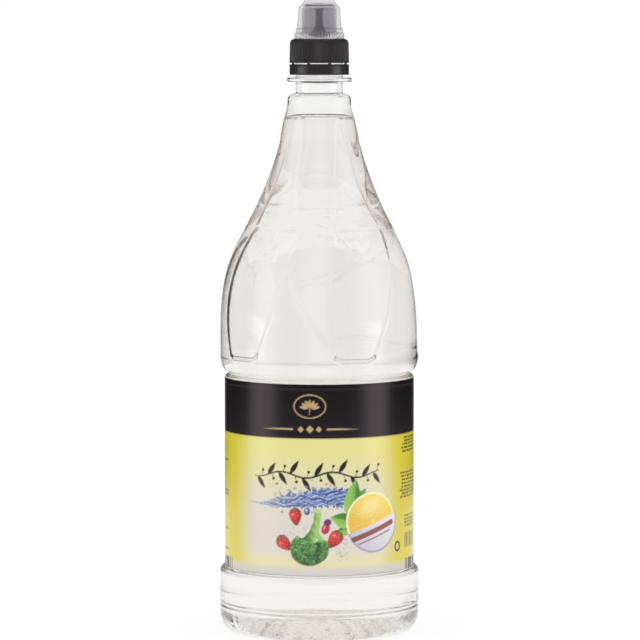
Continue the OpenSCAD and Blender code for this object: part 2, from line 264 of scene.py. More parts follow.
def bottle_rings(profile, relief):
    """Rings of points round the bottle, one for each point of the profile. Columns follow
    the panels' edges. A panel's floor falls by a small step at its edge and then as a flat
    parabola to its middle, both by the distance to an outline with rounded corners. relief
    scales what stands out: the bead round each panel, the ribs above, the leaves and the
    heel's moulding."""
    r = profile[:, 0][:, None]
    z = profile[:, 1][:, None]
    left, right = panel_edges(z)
    wide = np.degrees(step_w / np.maximum(r, 15))
    knots = np.concatenate([left, left + wide, right - wide, right, left + pitch], 1)
    angle = knots[:, span_of] + (knots[:, span_of + 1] - knots[:, span_of]) * share
    to_mm = np.radians(1) * r
    from_left = (angle - left) * to_mm
    from_right = (right - angle) * to_mm
    from_left = np.where(angle > right + 0.5 * (pitch + left - right), from_left - pitch * to_mm, from_left)
    across = np.minimum(from_left, from_right)
    upright = np.minimum(z - panel_z, panel_top_z - z)
    qx, qz = corner_r - across, corner_r - upright
    inside = corner_r - np.hypot(np.maximum(qx, 0), np.maximum(qz, 0))
    inside = inside - np.minimum(np.maximum(qx, qz), 0)
    u = np.clip((z - panel_z) / panel_h, 0, 1)
    deepest = panel_d * np.minimum(1, 0.35 + 1.3 * u)
    half = (right - left) / 2 * to_mm
    rise = 1 - (1 - np.clip(inside / np.maximum(half, 5), 0, 1)) ** 2
    depth = deepest * (0.3 * smooth(inside / step_w) + 0.7 * rise)
    above = smooth((z - panel_top_z) / 3) * smooth((rib_top_z - z) / 10)
    bead = bead_h * np.exp(-(((inside + 0.7) / 0.6) ** 2)) * (1 - above)
    rib = rib_h * above * np.exp(-((across / 0.85) ** 2))
    middle = (angle - (left + right) / 2) * to_mm
    leaf = leaf_h * sprig(middle, z - leaf_z) * smooth(inside / 2)
    swell = bead * (z > lip_z) + rib + leaf + heel_relief(np.radians(angle), r, z)
    radius = np.broadcast_to(r, angle.shape) - depth * (z > lip_z) + relief * swell
    full = np.concatenate([angle + k * pitch for k in range(panels)], 1) - 90
    radius = np.tile(radius, (1, panels))
    height = np.broadcast_to(z, full.shape)
    full = np.radians(full)
    return np.stack([radius * np.cos(full), radius * np.sin(full), height], 2)


def even_normals(rings):
    """Unit normals on a grid of points: the cross product of its two tangents. Each tangent
    is the slope there of the parabola through a point and its two neighbours, so that
    uneven spacing doesn't tilt it."""

    def tangent(before, after):
        h1 = np.linalg.norm(before, axis=2, keepdims=True) + 1e-9
        h2 = np.linalg.norm(after, axis=2, keepdims=True) + 1e-9
        return h1 * h1 * after + h2 * h2 * before

    round_step = np.roll(rings, -1, 1) - rings
    up_step = np.diff(rings, axis=0)
    across = tangent(np.roll(round_step, 1, 1), round_step)
    upward = tangent(np.concatenate([up_step[:1], up_step]), np.concatenate([up_step, up_step[-1:]]))
    normal = np.cross(across, upward)
    return normal / (np.linalg.norm(normal, axis=2, keepdims=True) + 1e-12)


def ring_mesh(name, rings, loop=False, normals=None):
    """A closed surface through rings of points, joined by quads. With loop the last ring
    joins the first; otherwise a fan round its middle closes each end. Millimetres in."""
    count, around = rings.shape[:2]
    points = rings.reshape(-1, 3)
    rows = count if loop else count - 1
    i, j = np.meshgrid(np.arange(rows), np.arange(around), indexing="ij")
    next_j = (j + 1) % around
    next_i = (i + 1) % count
    quads = np.stack(
        [i * around + j, i * around + next_j, next_i * around + next_j, next_i * around + j], 2
    ).reshape(-1, 4)
    faces = quads.tolist()
    if not loop:
        k = np.arange(around)
        low, high = len(points), len(points) + 1
        last = (count - 1) * around
        points = np.concatenate([points, [rings[0].mean(0)], [rings[-1].mean(0)]])
        faces += np.stack([np.full(around, low), (k + 1) % around, k], 1).tolist()
        faces += np.stack([np.full(around, high), last + k, last + (k + 1) % around], 1).tolist()
    mesh = bpy.data.meshes.new(name)
    mesh.from_pydata((points * MM).tolist(), [], faces)
    mesh.shade_smooth()
    if normals is not None:
        poles = [[0, 0, -1], [0, 0, 1 if rings[-1, 0, 2] > rings[0, 0, 2] else -1]]
        every_normal = np.concatenate([normals.reshape(-1, 3), poles])
        mesh.normals_split_custom_set_from_vertices(every_normal.tolist())
    piece = bpy.data.objects.new(name, mesh)
    bpy.context.scene.collection.objects.link(piece)
    return piece


def new_material(name, **sockets):
    """A material whose Principled shader has the given sockets set, and that shader."""
    material = bpy.data.materials.new(name)
    material.use_nodes = True
    shader = material.node_tree.nodes["Principled BSDF"]
    for socket, value in sockets.items():
        shader.inputs[socket.replace("_", " ")].default_value = value
    return material, shader


def noise_bump(material, shader, scale, stretch, height):
    """Bump from noise in Object coordinates: scale per metre, stretched along Z."""
    tree = material.node_tree
    place = tree.nodes.new("ShaderNodeTexCoord")
    mapping = tree.nodes.new("ShaderNodeMapping")
    mapping.inputs["Scale"].default_value = (scale, scale, scale * stretch)
    noise = tree.nodes.new("ShaderNodeTexNoise")
    noise.inputs["Scale"].default_value = 1.0
    noise.inputs["Detail"].default_value = 2.0
    bump = tree.nodes.new("ShaderNodeBump")
    bump.inputs["Strength"].default_value = 1.0
    bump.inputs["Distance"].default_value = height
    tree.links.new(place.outputs["Object"], mapping.inputs["Vector"])
    tree.links.new(mapping.outputs["Vector"], noise.inputs["Vector"])
    tree.links.new(noise.outputs["Fac"], bump.inputs["Height"])
    tree.links.new(bump.outputs["Normal"], shader.inputs["Normal"])


bottle_outside = np.concatenate(
    [
        spaced(np.concatenate([blown_outline, crown_outline]), 2.6, 13.6),
        spaced(finish_outline, 2.6, 20),
    ]
)
crown_inside = arc((neck_r - 0.4, crown_z - 0.2), 4.1, 3.0, 0, 78, 20)
bore_outline = [(bore_r, foot_z + 0.2), (bore_r, rim_z - 0.4), (bore_r + 0.3, rim_z)]
bottle_inside = np.concatenate(
    [
        sunk(spaced(blown_outline, 4.4, 28), blown_wall)[:-1],
        spaced(np.concatenate([crown_inside, bore_outline]), 3, 22),
    ]
)
rings = np.concatenate([bottle_rings(bottle_outside, 1.0), bottle_rings(bottle_inside, 0.0)[::-1]])
bottle = ring_mesh("bottle_wall", rings, normals=even_normals(rings))
clear_polyester, shader = new_material(
    "clear_polyester",
    Base_Color=(0.995, 0.993, 0.99, 1),
    Roughness=0.02,
    IOR=1.575,
    Transmission_Weight=1.0,
)
noise_bump(clear_polyester, shader, 45, 0.35, 0.00012)
# the heel has a moulded texture too, which ends at the top of the heel's curve
tree = clear_polyester.node_tree
place = tree.nodes.new("ShaderNodeTexCoord")
split = tree.nodes.new("ShaderNodeSeparateXYZ")
heel = tree.nodes.new("ShaderNodeMapRange")
heel.inputs["From Min"].default_value = 0.0135
heel.inputs["From Max"].default_value = 0.0105
pebbles = tree.nodes.new("ShaderNodeTexNoise")
pebbles.inputs["Scale"].default_value = 520
pebbles.inputs["Detail"].default_value = 1.0
raised = tree.nodes.new("ShaderNodeMath")
raised.operation = "MULTIPLY"
texture = tree.nodes.new("ShaderNodeBump")
texture.inputs["Distance"].default_value = 0.0001
tree.links.new(place.outputs["Object"], split.inputs["Vector"])
tree.links.new(place.outputs["Object"], pebbles.inputs["Vector"])
tree.links.new(split.outputs["Z"], heel.inputs["Value"])
tree.links.new(heel.outputs["Result"], raised.inputs[0])
tree.links.new(pebbles.outputs["Fac"], raised.inputs[1])
tree.links.new(raised.outputs["Value"], texture.inputs["Height"])
tree.links.new(shader.inputs["Normal"].links[0].from_socket, texture.inputs["Normal"])
tree.links.new(texture.outputs["Normal"], shader.inputs["Normal"])
bottle.data.materials.append(clear_polyester)
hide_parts("bottle")
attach(bottle, "root")

# ============================================================ the vinegar
# The bottle's contents: a clear, nearly colourless liquid. Its side reaches a little way
# into the wall, so that no film of air shows, and its top curves up where it wets the wall.
level_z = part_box("vinegar")[1].z / MM
wetting = 0.12
meniscus_h = 0.9
meniscus_w = 2.0

side = sunk(spaced(blown_outline, 3.0, 18), blown_wall - wetting)
edge_r = np.interp(level_z, side[-20:, 1], side[-20:, 0])
side = side[side[:, 1] < level_z - 0.4]
inward = edge_r * (1 - np.linspace(0, 1, 30)[:-1] ** 2.2)
climb = meniscus_h * np.exp(-(edge_r - inward) / meniscus_w)
surface = np.stack([inward, level_z + climb], 1)
rings = bottle_rings(np.concatenate([side, surface]), 0.0)
vinegar = ring_mesh("vinegar_fill", rings, normals=even_normals(rings))
clear_vinegar, shader = new_material(
    "clear_vinegar",
    Base_Color=(0.93, 0.908, 0.893, 1),
    Roughness=0.0,
    IOR=1.335,
    Transmission_Weight=1.0,
)
vinegar.data.materials.append(clear_vinegar)
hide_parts("vinegar")
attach(vinegar, "root")

# ============================================================ the label
# A printed film wrapped round the panel and glued at its overlap behind: a black head, a
# yellow field that pales to cream in the middle, and fruit and vegetables on a splash.
# The print is a colour for each point of a fine grid, painted as plain shapes.
fine_half = 72.0
fine_cols = 320
coarse_cols = 80
print_rows = 214
turn_mm = 2 * np.pi * label_r
columns = np.concatenate(
    [
        np.linspace(-fine_half, fine_half, fine_cols, endpoint=False),
        np.linspace(fine_half, turn_mm - fine_half, coarse_cols, endpoint=False),
    ]
)
rows = np.linspace(label_z, label_top_z, print_rows)
U, V = np.meshgrid(columns, rows)
U = np.where(U > turn_mm / 2, U - turn_mm, U)


def srgb(*values):
    """A colour of three numbers from 0 to 255, as linear light."""
    c = np.array(values, float) / 255
    return np.where(c <= 0.04045, c / 12.92, ((c + 0.055) / 1.055) ** 2.4)


def blend_in(mask, colour):
    """Paints a colour, or a grid of colours, over the print where the mask is 1."""
    ink[:] = ink * (1 - mask[..., None]) + colour * mask[..., None]


def shaded(dark, light, tone):
    """A grid of colours from dark, where tone is 0, to light, where it is 1."""
    return dark + (light - dark) * np.clip(tone, 0, 1)[..., None]


def inside_ellipse(cu, cv, a, b, turn=0.0, edge=0.35):
    """1 inside an ellipse of half-axes a and b turned by degrees, fading over its edge."""
    c, s = np.cos(np.radians(turn)), np.sin(np.radians(turn))
    p = (c * (U - cu) + s * (V - cv)) / a
    q = (-s * (U - cu) + c * (V - cv)) / b
    return smooth(0.5 + (1 - np.hypot(p, q)) * min(a, b) / edge)


def below_line(u0, v0, u1, v1, edge=0.35):
    """1 below the line through two points, fading over its edge."""
    off = ((V - v0) * (u1 - u0) - (U - u0) * (v1 - v0)) / np.hypot(u1 - u0, v1 - v0)
    return smooth(0.5 - off / edge)


def stroke(points, widths, edge=0.35):
    """1 within a pen stroke along the points, whose width is given at each."""
    points = np.array(points, float)
    best = np.full(U.shape, -99.0)
    for a, b, wide_a, wide_b in zip(points[:-1], points[1:], widths[:-1], widths[1:]):
        d = b - a
        t = np.clip(((U - a[0]) * d[0] + (V - a[1]) * d[1]) / (d @ d), 0, 1)
        off = np.hypot(U - a[0] - t * d[0], V - a[1] - t * d[1])
        best = np.maximum(best, (wide_a + (wide_b - wide_a) * t) / 2 - off)
    return smooth(0.5 + best / edge)


def box_of(u0, u1, v0, v1, edge=0.3):
    """1 in an upright rectangle, fading over its edges."""
    wide = smooth(0.5 + (U - u0) / edge) * smooth(0.5 + (u1 - U) / edge)
    return wide * smooth(0.5 + (V - v0) / edge) * smooth(0.5 + (v1 - V) / edge)


def leaf(foot, tip, width, dark, light):
    """A pointed leaf from foot to tip, lighter on one side of its rib, with side veins."""
    du, dv = tip[0] - foot[0], tip[1] - foot[1]
    length = np.hypot(du, dv)
    s = ((U - foot[0]) * du + (V - foot[1]) * dv) / length**2
    t = ((V - foot[1]) * du - (U - foot[0]) * dv) / length
    half = width * np.sin(np.pi * np.clip(s, 0, 1) ** 0.8)
    mask = smooth(0.5 + (half - abs(t)) / 0.4) * (s > 0) * (s < 1)
    veins = 0.16 * np.sin(3.2 * (s * length - abs(t)))
    blend_in(mask, shaded(dark, light, smooth(0.5 + t / width) + veins))
    blend_in(mask * smooth(1 - abs(t) / 0.35) * 0.55, light * 1.25)


# the ground: yellow at the sides, paler at the top of the middle and cream lower down
head_black = srgb(13, 9, 13)
head_z = label_top_z - 27.2
foot_strip_z = label_z + 5.0
middle = shaded(srgb(226, 221, 207), srgb(238, 232, 146), smooth((V - 58) / 44) ** 1.3)
middle = middle + (srgb(236, 228, 170) - middle) * (0.8 * smooth((48 - V) / 9))[..., None]
ink = shaded(middle, srgb(229, 214, 48), smooth((abs(U + 2) - 31) / 21))
blend_in(smooth((foot_strip_z + 1.5 - V) / 4.5), srgb(220, 216, 206))
blend_in(smooth(0.5 + (V - head_z) / 0.4), head_black)
fine_rule = smooth(1 - abs(V - label_top_z + 2.5) / 0.32)
blend_in(fine_rule * 0.6 * (0.6 + 0.4 * np.sin(U * 5)), srgb(138, 122, 108))

# a gold shield on the black head: an oval ring round a small leafy sprig
gold = srgb(194, 170, 116)
shield_u, shield_v = -4.8, label_top_z - 11.0
blend_in(inside_ellipse(shield_u, shield_v, 8.3, 6.1), gold)
blend_in(inside_ellipse(shield_u, shield_v, 7.7, 5.5), head_black)
for lean in (-75, -50, -25, 0, 25, 50, 75):
    s, c = np.sin(np.radians(lean)), np.cos(np.radians(lean))
    blend_in(inside_ellipse(shield_u + 3.2 * s, shield_v - 1.3 + 2.7 * c, 0.7, 1.9, -lean), gold)
blend_in(stroke([(shield_u, shield_v - 0.8), (shield_u, shield_v - 4.2)], [0.55, 0.3]), gold)
# a plain gold ornament under it: a rule on each side of a row of lozenges
row_v = 107.6
for side in (-1, 1):
    rule_ends = [(shield_u + side * 9, row_v), (shield_u + side * 25, row_v)]
    blend_in(stroke(rule_ends, [1.1, 0.2]), gold)
for k in (-1, 0, 1):
    lozenge = 2.0 - 0.4 * abs(k) - abs(U - shield_u - k * 4.6) - abs(V - row_v)
    blend_in(smooth(0.5 + lozenge / 0.35), gold)


def stem_v(u):
    """Height of the vine's stem: a slow sine along the label."""
    return 84.6 + 1.5 * np.sin(u / 4.2)


# a vine in black pen across the field: a waving stem with leaves on alternate sides
black = srgb(16, 14, 14)
stem_u = np.linspace(-35, 32, 60)
stem = np.stack([stem_u, stem_v(stem_u)], 1)
blend_in(stroke(stem, 0.45 + 0.5 * np.cos(stem_u / 22)), black)
for k in range(11):
    foot_u = -33.5 + 6.2 * k
    side = 1 if k % 2 else -1
    foot_v = stem_v(foot_u)
    reach = 7.4 - 0.28 * abs(k - 5)
    tip = (foot_u + 4.6, foot_v + side * reach)
    leaf((foot_u, foot_v), tip, 1.25, black, black)
    berry_u = foot_u + 3.4
    berry_v = stem_v(berry_u) - side * 3.0
    blend_in(stroke([(berry_u - 0.8, berry_v + side * 2.6), (berry_u, berry_v)], [0.3, 0.3]), black)
    blend_in(inside_ellipse(berry_u, berry_v, 0.75, 0.75), black)

# a splash of water: a long tongue that widens to the right, with streaks, spikes and drops
dice = np.random.default_rng(7)
ripple = 0.5 * np.sin(U * 1.9 + 1.2 * np.sin(V * 1.1))
ripple = ripple + 0.35 * np.sin(U * 4.3 + 2.0) + 0.2 * np.sin(U * 9.1)
reach = smooth((U + 41) / 46)
mid = 69.9 + 3.1 * smooth((U + 26) / 26) + 0.4 * np.sin(U / 4)
half = 0.25 + 1.2 * smooth((U + 30) / 8) + 3.1 * reach + 1.2 * ripple * reach
mask = smooth(0.5 + (half - abs(V - mid)) / 0.5) * smooth((U + 41) / 4) * smooth((15.5 - U) / 1.5)
flow = V * 1.8 + 1.7 * np.sin(U * 0.31 + 0.6) + 0.8 * np.sin(U * 0.8 + V * 0.5)
streak = 0.5 + 0.5 * np.sin(flow + 0.8 * np.sin(U * 0.55 - V * 0.9))
glint = smooth((np.sin(flow * 2.0 + 1.5 * np.sin(U * 0.6 + V * 0.4)) - 0.62) / 0.3)
blend_in(mask * (0.55 + 0.45 * reach), shaded(srgb(28, 58, 124), srgb(112, 150, 204), streak))
blend_in(mask * glint * 0.7, srgb(226, 236, 246))
for k in range(26):
    u = dice.uniform(-20, 13)
    v = 72.5 + 3.6 * min(1, (u + 30) / 30) * dice.choice([1, 1, 1, -0.9])
    lean, tall = dice.uniform(-2, 2), dice.uniform(1.0, 3.2) * np.sign(v - 72.5)
    blend_in(stroke([(u, v), (u + lean, v + tall)], [0.9, 0.15]) * 0.8, srgb(62, 92, 162))
for k in range(60):
    u, v = dice.uniform(-24, 15), dice.normal(73.5, 3.8)
    size = dice.uniform(0.25, 0.75)
    blend_in(inside_ellipse(u, v, size * 1.4, size, dice.uniform(-40, 40)) * 0.65, srgb(84, 112, 176))
# one large drop with its glint, and the four leaves behind the lemon
blend_in(inside_ellipse(-6.2, 66.4, 1.5, 2.0), srgb(70, 92, 160))
blend_in(inside_ellipse(-6.5, 66.9, 0.6, 0.9), srgb(196, 210, 236))
leaf_dark, leaf_light = srgb(50, 128, 36), srgb(146, 204, 84)
leaf((17.8, 65.0), (24.4, 77.4), 4.2, leaf_light, leaf_dark)
leaf((16.4, 61.5), (18.6, 82.2), 4.9, leaf_dark, leaf_light)
leaf((17.4, 57.5), (8.6, 56.0), 2.8, srgb(36, 104, 30), leaf_light)
leaf((17.6, 60.0), (5.6, 63.4), 3.9, leaf_dark, leaf_light)

# half a lemon with its pale rim and wedges, over a lilac-grey dish
chord_u, chord_v = 14.9, 54.6
chord = (chord_u, chord_v, 42.6, 63.6)
chord_slope = 0.325
lemon_u, lemon_v = 28.2, 60.8
dish = inside_ellipse(29.4, 59.6, 15.4, 15.0, 20) * below_line(*chord)
blend_in(dish, shaded(srgb(198, 194, 212), srgb(238, 234, 236), 0.5 + 0.03 * (U - 30) + 0.02 * (V - 52)))
blend_in(dish * (1 - inside_ellipse(29.4, 59.9, 14.7, 14.4, 20, 0.8)), srgb(164, 158, 182))
upper = 1 - below_line(*chord)
blend_in(inside_ellipse(lemon_u, lemon_v, 14.6, 14.5) * upper, srgb(252, 246, 196))
flesh = inside_ellipse(lemon_u, lemon_v, 13.5, 13.4) * upper
from_middle = np.hypot(U - lemon_u, V - lemon_v)
turned_by = np.arctan2(V - lemon_v, U - lemon_u)
blend_in(flesh, shaded(srgb(233, 178, 30), srgb(250, 220, 84), 0.35 + 0.035 * (V - 58) + 0.02 * (U - 24)))
pulp = np.sin(turned_by * 40 + 2.5 * np.sin(from_middle * 0.9))
pulp = pulp * np.sin(from_middle * 1.6 + 3 * turned_by)
blend_in(flesh * smooth(pulp - 0.1) * 0.45, srgb(255, 240, 140))
wedge = abs(np.sin(turned_by * 4.5 + 0.4)) * from_middle
blend_in(flesh * smooth(1 - wedge / 0.8) * 0.5, srgb(255, 246, 186))
blend_in(inside_ellipse(27, 68, 6.5, 4.0, 15, 6) * flesh * 0.4, srgb(255, 248, 196))
# a broad stripe and a fine one run along the dish, under its rim
for drop, start, stop, wide in ((3.9, 17.5, 41.0, 2.6), (7.3, 20.5, 39.5, 0.6)):
    stripe_u = np.linspace(start, stop, 9)
    stripe_v = chord_v + (stripe_u - chord_u) * chord_slope - drop
    stripe = stroke(np.stack([stripe_u, stripe_v], 1), np.full(9, wide))
    blend_in(stripe * dish, srgb(142, 74, 66))


def strawberry(cu, cv, size, turn):
    """A heart-shaped berry, darker at its edge, with rows of pale seeds and green sepals."""
    c, s = np.cos(np.radians(turn)), np.sin(np.radians(turn))
    p = (c * (U - cu) + s * (V - cv)) / size
    q = (-s * (U - cu) + c * (V - cv)) / size
    width = 0.98 * np.sqrt(np.clip(1 - ((q - 0.12) / 1.12) ** 2, 0, 1)) * (0.76 + 0.26 * q)
    mask = smooth(0.5 + (width - abs(p)) * size / 0.4) * (abs(q - 0.12) < 1.12)
    blend_in(mask, shaded(srgb(120, 12, 18), srgb(228, 48, 42), 1.15 - np.hypot(p + 0.25, q - 0.3) * 0.85))
    seeds = np.cos(p * 13 + np.round(q * 3.2) * 1.5) * np.cos((q * 3.2 - np.round(q * 3.2)) * 3.1)
    blend_in(mask * smooth((seeds - 0.78) / 0.15) * 0.55, srgb(246, 168, 130))
    blend_in(mask * smooth(1 - np.hypot(p + 0.35, q - 0.5) / 0.3) * 0.5, srgb(255, 190, 180))
    top = (cu - s * size * 1.05, cv + c * size * 1.05)
    for lean in (-60, 0, 60):
        a = np.radians(turn + 90 + lean)
        tip = (top[0] + 1.5 * np.cos(a), top[1] + 1.5 * np.sin(a))
        blend_in(stroke([top, tip], [0.9, 0.2]), srgb(70, 132, 48))


strawberry(-12.0, 63.0, 3.9, 6)
strawberry(-17.6, 49.6, 4.2, 52)
strawberry(7.4, 51.6, 4.4, -38)
# a small purple sprout over a red radish
blend_in(inside_ellipse(3.2, 57.6, 2.1, 2.9, -20), srgb(190, 34, 60))
blend_in(inside_ellipse(4.2, 60.8, 2.0, 1.7, 20), srgb(120, 38, 104))
blend_in(inside_ellipse(2.6, 58.2, 0.6, 1.2, -20), srgb(236, 130, 146))

# broccoli: a pale trunk that forks into branches, and a broad head of rounded florets
head_u, head_v = -5.0, 47.4
edge_u = np.array([-15.5, -12.5, -8.0, -3.5, 0.5, 5.0])
edge_v = np.array([52.0, 54.6, 52.2, 49.8, 52.0, 51.4])
crown_top = np.interp(U, edge_u, edge_v)
crown_mask = inside_ellipse(head_u, head_v, 9.7, 8.6, 4, 1.2) * smooth(0.5 + (crown_top - V) / 1.0)
blend_in(crown_mask, srgb(24, 78, 26))
branches = (
    ([(-0.6, 65.8), (-1.4, 60.5), (-2.8, 55.0)], [3.5, 3.5, 5.0]),
    ([(-3.0, 56.0), (-6.5, 52.6), (-10.5, 50.6)], [3.4, 2.6, 1.6]),
    ([(-2.4, 56.0), (0.2, 53.0), (2.4, 50.6)], [3.4, 2.6, 1.6]),
    ([(-2.8, 55.5), (-4.2, 50.0), (-5.0, 45.5)], [4.6, 3.6, 2.0]),
)
for route, widths in branches:
    side_light = 0.5 + (U + 2.2 + (66 - V) * 0.14) / 4 + 0.18 * np.sin(V * 1.4 + U)
    blend_in(stroke(route, widths), shaded(srgb(52, 118, 40), srgb(156, 206, 104), side_light))
blend_in(inside_ellipse(-0.6, 66.3, 1.8, 0.9, -8), srgb(186, 218, 140))
floret_dark, floret_light = srgb(26, 82, 28), srgb(84, 166, 66)
top_dark, top_light = srgb(66, 140, 52), srgb(160, 214, 120)
for k in range(260):
    far, spin = np.sqrt(dice.uniform(0, 1)), dice.uniform(0, 2 * np.pi)
    u, v = head_u + 9.4 * far * np.cos(spin), head_v + 8.2 * far * np.sin(spin)
    size = dice.uniform(0.5, 1.0)
    lit = 0.42 + 0.3 * np.sin(u * 0.7 + 1) * np.sin(v * 0.9) + (v - 46) / 26 + dice.uniform(-0.25, 0.25)
    on_stem = abs(u + 3.2 + (v - 52) * -0.25) < 2.0 and v > 50.5
    if v > np.interp(u, edge_u, edge_v - 0.4) or on_stem:
        continue
    lit = np.clip(lit, 0, 1)
    blend_in(inside_ellipse(u, v, size, size), floret_dark + (floret_light - floret_dark) * lit)
    top = inside_ellipse(u - 0.2, v + 0.25, size * 0.42, size * 0.42)
    blend_in(top, top_dark + (top_light - top_dark) * lit)

# crumbs of green and drops of water round the vegetables
for k in range(40):
    u, v = dice.uniform(8, 14.5), dice.uniform(41, 54)
    blend_in(inside_ellipse(u, v, 0.4, 0.3) * 0.5, srgb(120, 156, 128))
for k in range(60):
    u, v = dice.uniform(-19, -6), dice.uniform(52, 61)
    blend_in(inside_ellipse(u, v, 0.45, 0.35) * 0.3, srgb(160, 172, 205))

# small print beside the picture as plain dashes, over a block of bars and a ring
grey = srgb(48, 44, 26)
print_end = 70
for top, lines, first_u in ((101.5, 5, 50), (83.5, 8, 48), (61.5, 4, 52)):
    for k in range(lines):
        u, line_top = first_u + dice.uniform(0, 3), top - 1.75 * k
        while u < print_end:
            dash = dice.uniform(1.2, 5.0)
            blend_in(box_of(u, min(u + dash, print_end), line_top - 0.95, line_top) * 0.85, grey)
            u += dash + 0.7
for k in range(10):
    start = 53.2 + k * 1.75
    blend_in(box_of(start, start + (0.5, 1.1, 0.8)[k % 3], 44.8, 52.2), srgb(40, 36, 28))
blend_in(inside_ellipse(46.2, 46.2, 2.5, 2.8), srgb(50, 46, 26))
blend_in(inside_ellipse(46.2, 46.2, 1.4, 1.6), srgb(220, 210, 112))
# dark blocks at the foot's two sides, with a few short lines over those on the left
left_bars = ((-72, -67), (-66, -60.4), (-59.4, -58.2), (-56.6, -55.8))
right_bars = ((54.2, 55), (56, 57.4), (58.4, 64), (65, 72))
for start, stop in left_bars + right_bars:
    blend_in(box_of(start, stop, label_z, label_z + 5.6), srgb(24, 19, 18))
for v in (88.6, 73, 71, 53.6, 43):
    blend_in(box_of(-70, -61.5, v - 0.6, v + 0.6, 0.4) * 0.6, grey)

# the back of the wrap: two pale fields with rules, and the shadow of the glued overlap
for middle_u in (-112, 112):
    field = box_of(middle_u - 27, middle_u + 27, 44, 98, 1.2)
    blend_in(field, srgb(244, 240, 222))
    line_start = middle_u - 23
    for k in range(15):
        length = 2 * (23 - 7 * (k % 4 == 3))
        line_v = 94.5 - 3.2 * k
        line = box_of(line_start, line_start + length, line_v - 0.7, line_v + 0.7, 0.6)
        blend_in(line * 0.8, srgb(140, 136, 118))
blend_in(smooth(1 - abs(abs(U) - turn_mm / 2) / 1.2) * 0.35, srgb(120, 110, 60))

label_film = 0.12
theta = columns / label_r - np.pi / 2


def film_rings(radius, heights):
    """Circles of the given radius, one at each height."""
    z, turn = np.meshgrid(heights, theta, indexing="ij")
    return np.stack([radius * np.cos(turn), radius * np.sin(turn), z], 2)


print_rings = film_rings(label_r, rows)
back_rings = film_rings(label_r - label_film, [label_top_z, label_top_z - 0.4, label_z + 0.4, label_z])
label = ring_mesh("label_wrap", np.concatenate([print_rings, back_rings]), loop=True)
paint = np.ones((len(label.data.vertices), 4), np.float32)
paint[: ink.shape[0] * ink.shape[1], :3] = ink.reshape(-1, 3)
attribute = label.data.color_attributes.new("print", "FLOAT_COLOR", "POINT")
attribute.data.foreach_set("color", paint.ravel())
printed_film, shader = new_material(
    "printed_film",
    Roughness=0.26,
    IOR=1.5,
    Specular_IOR_Level=1.0,
    Specular_Tint=(1.0, 0.84, 0.9, 1),
)
tree = printed_film.node_tree
colour = tree.nodes.new("ShaderNodeAttribute")
colour.attribute_name = "print"
tree.links.new(colour.outputs["Color"], shader.inputs["Base Color"])
noise_bump(printed_film, shader, 260, 0.25, 0.00003)
label.data.materials.append(printed_film)
# a painted glow: the film's unprinted back emits light, which stands in for the light that comes through
# the film, so that it shows bright behind the vinegar
film_back_glow, shader = new_material(
    "film_back_glow",
    Base_Color=(0.9, 0.9, 0.88, 1),
    Roughness=0.6,
    Emission_Color=(1.0, 0.99, 0.96, 1),
    Emission_Strength=0.7,
)
label.data.materials.append(film_back_glow)
of_back = np.zeros(len(label.data.polygons), np.int32)
of_back[print_rows * len(columns) :] = 1
label.data.polygons.foreach_set("material_index", of_back)
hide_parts("label")
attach(label, "root")

# ============================================================ the screw cap
# One black moulding: a skirt with fine grip ribs, a rounded top and, in the middle, the
# spout's post with its flared foot and the plug at its tip. It sits on the neck's rim.
cap_low, cap_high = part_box("cap")
spout_low, spout_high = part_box("spout")
cap_r = cap_high.x / MM
cap_z = cap_low.z / MM
cap_top_z = spout_low.z / MM
cap_in_r = cap_r - 1.45
grip_ribs = 96
grip_d = 0.36
post_r = 1.85
plug_r = 2.7
post_flare = bezier(
    [(7.0, cap_top_z), (3.3, cap_top_z + 2.5), (post_r, cap_top_z + 5), (post_r, cap_top_z + 10)], 14
)
tip_z = spout_high.z / MM
skirt_side = np.stack(
    [np.linspace(cap_r - 0.02, cap_r - 0.22, 9), np.linspace(cap_z + 0.9, cap_top_z - 2.6, 9)], 1
)
cap_profile = joined(
    [(0.4, rim_z), (6, rim_z), (12, rim_z), (cap_in_r - 0.3, rim_z), (cap_in_r, rim_z - 0.3)],
    [(cap_in_r, cap_z + 0.3), (cap_in_r + 0.2, cap_z), (cap_r - 0.35, cap_z)],
    [(cap_r - 0.12, cap_z + 0.08), (cap_r - 0.02, cap_z + 0.35)],
    skirt_side,
    arc((cap_r - 2.65, cap_top_z - 2.4), 2.4, 2.4, 4, 90, 12),
    [(10.5, cap_top_z), (8.5, cap_top_z)],
    post_flare,
    [(post_r, tip_z - 2.9), (2.2, tip_z - 2.3), (2.6, tip_z - 1.9), (plug_r, tip_z - 1.6)],
    [(plug_r, tip_z - 0.2), (2.5, tip_z), (1.2, tip_z), (0.2, tip_z)],
)
skirt_turn = np.linspace(0, 2 * np.pi, grip_ribs * 6, endpoint=False)
r, z = cap_profile[:, :1], cap_profile[:, 1:]
on_skirt = (r > cap_r - 1.1) * smooth((z - cap_z - 0.3) / 0.5) * smooth((cap_top_z - 0.6 - z) / 1.2)
r = r - grip_d * on_skirt * (0.5 - 0.5 * np.cos(grip_ribs * skirt_turn)) ** 0.7
z = np.broadcast_to(z, r.shape)
cap = ring_mesh("cap_shell", np.stack([r * np.cos(skirt_turn), r * np.sin(skirt_turn), z], 2))
black_plastic, shader = new_material(
    "black_plastic",
    Base_Color=(0.03, 0.024, 0.026, 1),
    Roughness=0.28,
    IOR=1.5,
    Specular_IOR_Level=1.0,
)
noise_bump(black_plastic, shader, 900, 1.0, 0.00001)
cap.data.materials.append(black_plastic)
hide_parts("cap")
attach(cap, "root")

# ============================================================ the tamper band
# The lower end of the same moulding, cut free by a slit and held by eight thin bridges,
# which break when the cap is first turned.
band_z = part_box("tamper_band")[0].z / MM
slit_h = 0.7
band_top_z = cap_z - slit_h
bridge_count = 8


